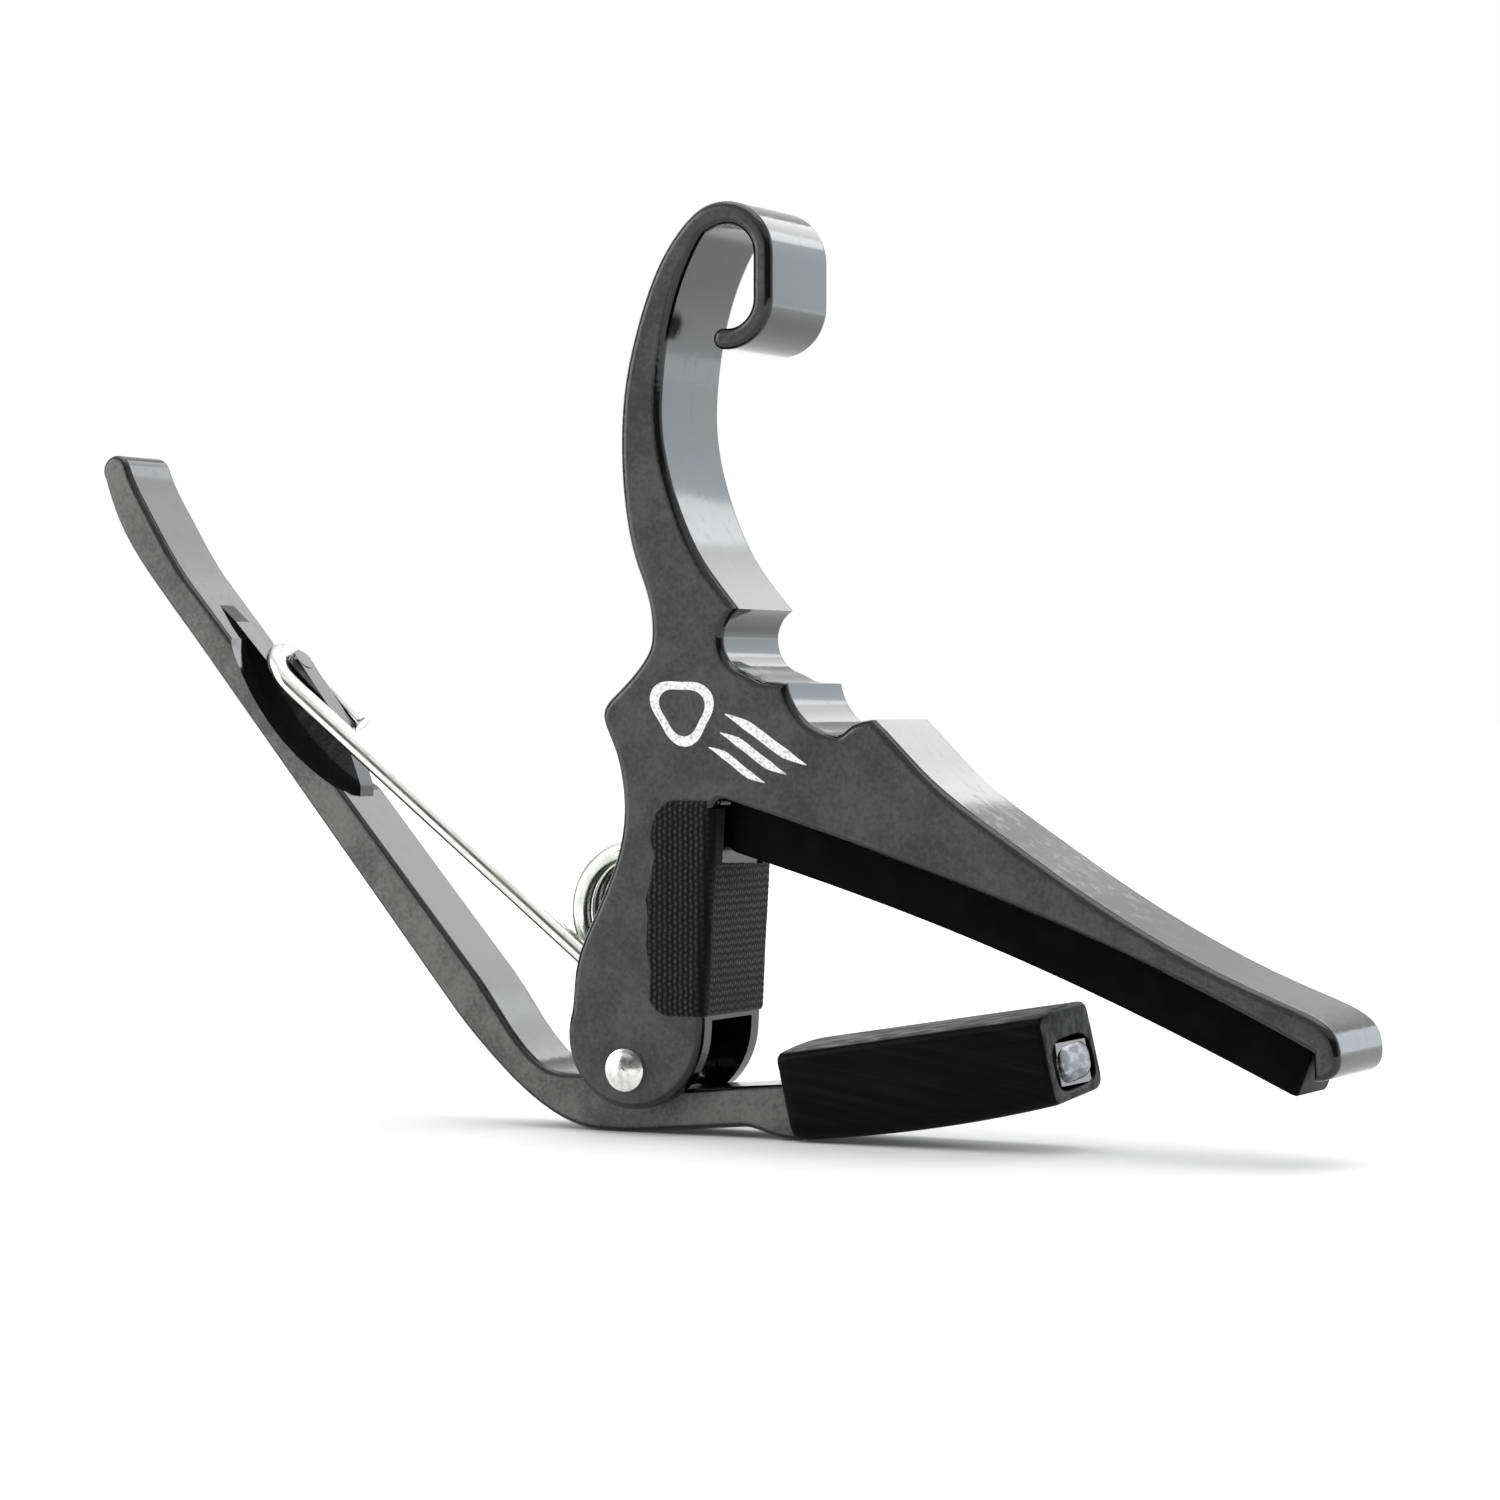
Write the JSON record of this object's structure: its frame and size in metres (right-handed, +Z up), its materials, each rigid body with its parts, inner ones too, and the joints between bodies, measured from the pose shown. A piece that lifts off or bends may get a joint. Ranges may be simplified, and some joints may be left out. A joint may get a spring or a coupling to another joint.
{
  "type": "spring-clamp guitar capo",
  "caption": "Spring-clamp capo for a guitar neck: hooked upper handle and string bar, sprung lever with rubber neck sleeve.",
  "frame": {"origin": "centre of the bounding box at its bottom, under the middle of the capo as it stands on the lever's bend and the sleeve's lower corner", "axes": "+X towards the string bar's nose, +Y across the width (along the guitar neck), +Z up towards the hook"},
  "size_m": [0.1348, 0.0142, 0.089],
  "materials": {
    "frame_paint": "satin black paint on cast aluminium, glossier on rounded edges",
    "lever_paint": "satin black paint on cast aluminium",
    "rivet_steel": "bright plated steel",
    "spring_wire": "bright zinc plated spring wire",
    "pad_rubber": "deep black satin rubber",
    "sleeve_rubber": "satin black rubber, slightly dusty",
    "strip_fabric": "coarse black woven strip"
  },
  "bodies": {
    "frame": {"frame": "frame_paint", "pivot_rivet": "rivet_steel", "string_pad": "pad_rubber", "throat_strip": "strip_fabric", "spring_coil": "spring_wire"},
    "lever": {"lever": "lever_paint", "neck_sleeve": "sleeve_rubber"},
    "spring_arm": {"spring_arm": "spring_wire"}
  },
  "joints": [
    {"name": "lever_hinge", "type": "hinge", "parent": "frame", "child": "lever", "pos_m": [-0.00435, 0, 0.00625], "axis": [0, 1, 0], "range_deg": [0, 30], "stiffness_Nm_per_rad": 0.8, "springref_deg": -28.65},
    {"name": "spring_arm_hinge", "type": "hinge", "parent": "frame", "child": "spring_arm", "pos_m": [-0.0061, 0, 0.021], "axis": [0, 1, 0], "range_deg": [0, 40]}
  ],
  "couplings": [
    {"joint": "spring_arm_hinge", "follows": "lever_hinge", "ratio": 1.29}
  ]
}
